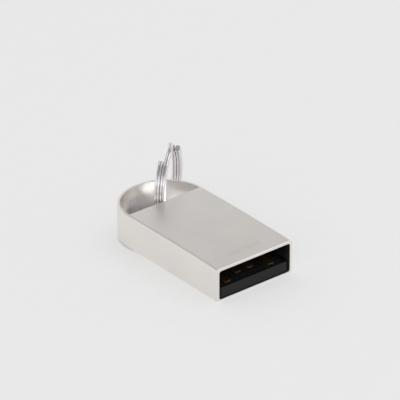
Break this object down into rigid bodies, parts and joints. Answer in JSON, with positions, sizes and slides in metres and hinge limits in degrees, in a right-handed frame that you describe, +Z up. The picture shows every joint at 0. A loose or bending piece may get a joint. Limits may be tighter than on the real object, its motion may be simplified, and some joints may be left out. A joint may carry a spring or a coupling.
{
  "type": "usb flash drive",
  "caption": "Short capless metal USB flash drive: the housing forms the plug shell and a key loop that carries a loose split ring.",
  "frame": {"origin": "on the flat underside of the housing, on the middle line, halfway between the plug's mouth and the end of the key loop", "axes": "+X across the width, +Y from the plug's mouth towards the key loop, +Z up from the flat underside"},
  "size_m": [0.0143, 0.0256, 0.0102],
  "materials": {
    "satin_alloy": "satin nickel-plated zinc alloy",
    "ring_chrome": "bright chrome-plated spring steel",
    "black_plastic": "fine-textured moulded plastic",
    "contact_gold": "gold-plated copper",
    "epoxy": "moulded epoxy",
    "circuit_board": "black solder mask on glass-epoxy board",
    "silicon": "polished silicon",
    "capacitor": "ceramic body with tinned ends",
    "resistor": "glass-coated ceramic with tinned ends",
    "film": "acrylic bonding film"
  },
  "bodies": {
    "drive": {"housing": "satin_alloy", "tongue_carrier": "black_plastic", "bonding_film": "film", "module_mold": "epoxy", "module_substrate": "circuit_board", "contact_vbus": "contact_gold", "contact_d_minus": "contact_gold", "contact_d_plus": "contact_gold", "contact_gnd": "contact_gold", "controller_die": "silicon", "nand_die_1": "silicon", "nand_die_2": "silicon", "capacitor_1": "capacitor", "capacitor_2": "capacitor", "capacitor_3": "capacitor", "capacitor_4": "capacitor", "resistor_1": "resistor", "resistor_2": "resistor", "retainer_block": "black_plastic"},
    "ring": {"split_ring": "ring_chrome"}
  },
  "joints": [
    {"name": "ring_travel", "type": "hinge", "parent": "drive", "child": "ring", "pos_m": [0, 0.00595, 0.0022], "axis": [0, 0, 1], "range_deg": [-36, 66]}
  ]
}
